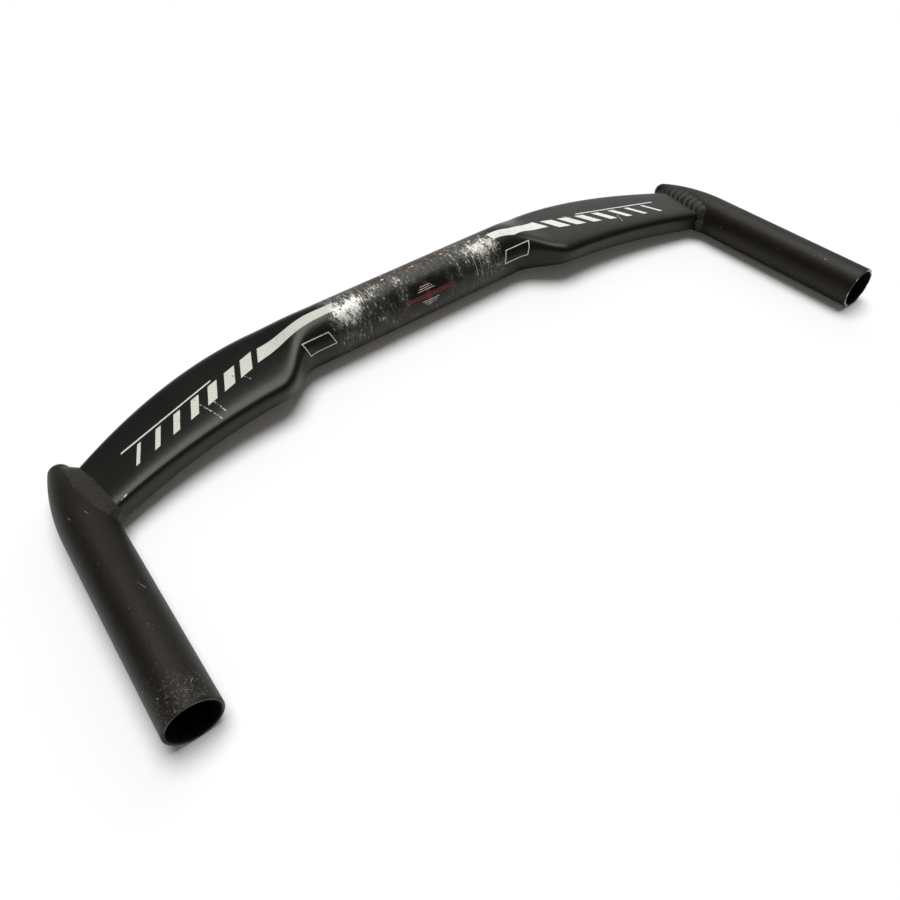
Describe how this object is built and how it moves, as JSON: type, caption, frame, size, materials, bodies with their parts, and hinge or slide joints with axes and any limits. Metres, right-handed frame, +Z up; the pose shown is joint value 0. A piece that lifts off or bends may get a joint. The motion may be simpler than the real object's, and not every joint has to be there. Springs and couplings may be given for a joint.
{
  "type": "bullhorn handlebar",
  "caption": "Bicycle bullhorn handlebar: a round stem clamp zone blends into flat swept wings, with a bullet-nosed horn tube welded across each end.",
  "frame": {"origin": "middle of the stem clamp zone, on its axis", "axes": "+X along the bar to the right horn, +Y to the rear, so the open horn ends point to -Y, +Z up"},
  "size_m": [0.44, 0.18, 0.0318],
  "materials": {
    "beam": "satin black, worn to bare metal beside the clamp zone",
    "horn": "matte black",
    "weld": "matte black over fish-scale ripples"
  },
  "bodies": {
    "root": {"centre_beam": "beam", "right_horn": "horn", "left_horn": "horn", "right_weld_bead": "weld", "left_weld_bead": "weld"}
  },
  "joints": []
}
